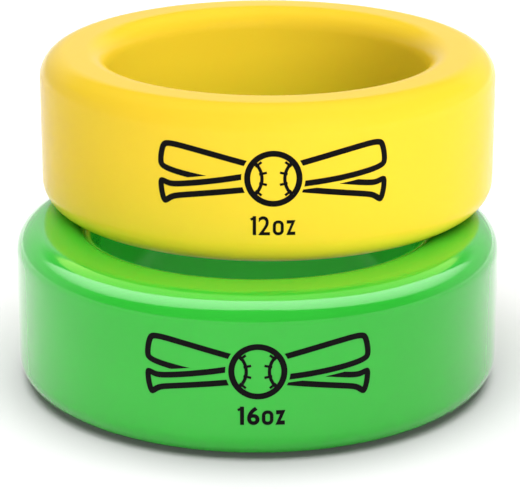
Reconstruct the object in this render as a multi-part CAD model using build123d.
from build123d import *
from dataclasses import dataclass
import os

# Two loose weight rings that slide over a ball-game bat for warm-up swings, stacked for storage.
# Each ring is a cast-iron core sealed inside a seamless moulded vinyl coat of even thickness.
# The lower ring is the 16 oz one and the upper ring the 12 oz one. Nothing joins them: the upper
# ring rests face to face on the lower one, set back and a little to the right, and lifts straight off.
# Frame: millimetres, +Z up, front towards -Y. The lower ring's axis is Z and its base is on Z = 0.

# One hole size for both rings: it clears the bat's knob and stops where the barrel has widened to it.
HOLE_DIAMETER = 56.8

LOWER_OUTER_DIAMETER = 84.6
LOWER_HEIGHT = 28.2
LOWER_OUTER_CORNER = 4.6  # radius of the rounded edges between the outer wall and the flat faces
LOWER_HOLE_CORNER = 4.4  # radius of the rounded edges at both ends of the hole
LOWER_COAT_THICKNESS = 1.5

UPPER_OUTER_DIAMETER = 80.9
UPPER_HEIGHT = 27.4
UPPER_OUTER_CORNER = 4.5
UPPER_HOLE_CORNER = 4.0
UPPER_COAT_THICKNESS = 1.8

# Where the upper ring's axis stands, from the lower ring's axis.
STACK_SHIFT_RIGHT = 1.8
STACK_SHIFT_BACK = 13.5

# Opposite rounded edges never use up more than this share of the face between them, so that each
# ring keeps a flat face to stand on and a straight wall in its hole.
MOST_ROUNDED_SHARE = 0.9
# The iron's edges are never sharper than this.
LEAST_CORE_CORNER = 0.8

GRAMS_PER_MM3_IRON = 0.0072
GRAMS_PER_MM3_VINYL = 0.0012


@dataclass(frozen=True)
class WeightRing:
    """The sizes of one coated ring, and where the centre of its base stands."""

    name: str
    outer_diameter: float
    height: float
    outer_corner: float
    hole_corner: float
    coat_thickness: float
    base_centre: tuple

    def corners(self):
        """The outer and hole corner radii, both made smaller where the ring is too thin or low for them."""
        wall = (self.outer_diameter - HOLE_DIAMETER) / 2
        share = min(
            1.0,
            MOST_ROUNDED_SHARE * wall / (self.outer_corner + self.hole_corner),
            MOST_ROUNDED_SHARE * self.height / (2 * max(self.outer_corner, self.hole_corner)),
        )
        return self.outer_corner * share, self.hole_corner * share


def rounded_section(inner_radius, outer_radius, bottom, top, hole_corner, outer_corner):
    """A ring's cross-section in the XZ plane, rounded at its hole side and at its outer side."""
    with BuildSketch(Plane.XZ) as section:
        with Locations(((inner_radius + outer_radius) / 2, (bottom + top) / 2)):
            Rectangle(outer_radius - inner_radius, top - bottom)
        fillet(section.vertices().group_by(Axis.X)[0], hole_corner)
        fillet(section.vertices().group_by(Axis.X)[-1], outer_corner)
    return section.sketch


def outer_section(ring):
    """The cross-section of the whole coated ring."""
    outer_corner, hole_corner = ring.corners()
    return rounded_section(
        HOLE_DIAMETER / 2, ring.outer_diameter / 2, 0, ring.height, hole_corner, outer_corner
    )


def core_section(ring):
    """The cross-section of the iron, which lies one coat thickness inside the ring's surface."""
    coat = ring.coat_thickness
    outer_corner, hole_corner = (max(LEAST_CORE_CORNER, r - coat) for r in ring.corners())
    return rounded_section(
        HOLE_DIAMETER / 2 + coat,
        ring.outer_diameter / 2 - coat,
        coat,
        ring.height - coat,
        hole_corner,
        outer_corner,
    )


def turned(section, ring):
    """A section spun about the ring's own axis and put in its place in the stack."""
    return Pos(*ring.base_centre) * revolve(section, Axis.Z)


def iron_core(ring):
    """The cast ring that gives the weight."""
    return turned(core_section(ring), ring)


def vinyl_coat(ring):
    """The coat, which wraps the iron on every side and touches it all over."""
    return turned(outer_section(ring) - core_section(ring), ring)


def weight_rings():
    """The two rings of the stack, the lower one first."""
    lower = WeightRing(
        name="lower",
        outer_diameter=LOWER_OUTER_DIAMETER,
        height=LOWER_HEIGHT,
        outer_corner=LOWER_OUTER_CORNER,
        hole_corner=LOWER_HOLE_CORNER,
        coat_thickness=LOWER_COAT_THICKNESS,
        base_centre=(0, 0, 0),
    )
    upper = WeightRing(
        name="upper",
        outer_diameter=UPPER_OUTER_DIAMETER,
        height=UPPER_HEIGHT,
        outer_corner=UPPER_OUTER_CORNER,
        hole_corner=UPPER_HOLE_CORNER,
        coat_thickness=UPPER_COAT_THICKNESS,
        base_centre=(STACK_SHIFT_RIGHT, STACK_SHIFT_BACK, LOWER_HEIGHT),
    )
    return lower, upper


def main():
    """Writes one STEP file for each piece, and prints what each ring weighs."""
    os.makedirs("parts", exist_ok=True)
    for ring in weight_rings():
        core, coat = iron_core(ring), vinyl_coat(ring)
        for piece, solid in (("core", core), ("coat", coat)):
            solid.label = f"{ring.name}_{piece}"
            export_step(solid, f"parts/{solid.label}.step")
        grams = core.volume * GRAMS_PER_MM3_IRON + coat.volume * GRAMS_PER_MM3_VINYL
        print(f"{ring.name} ring: {grams:.0f} g")


main()
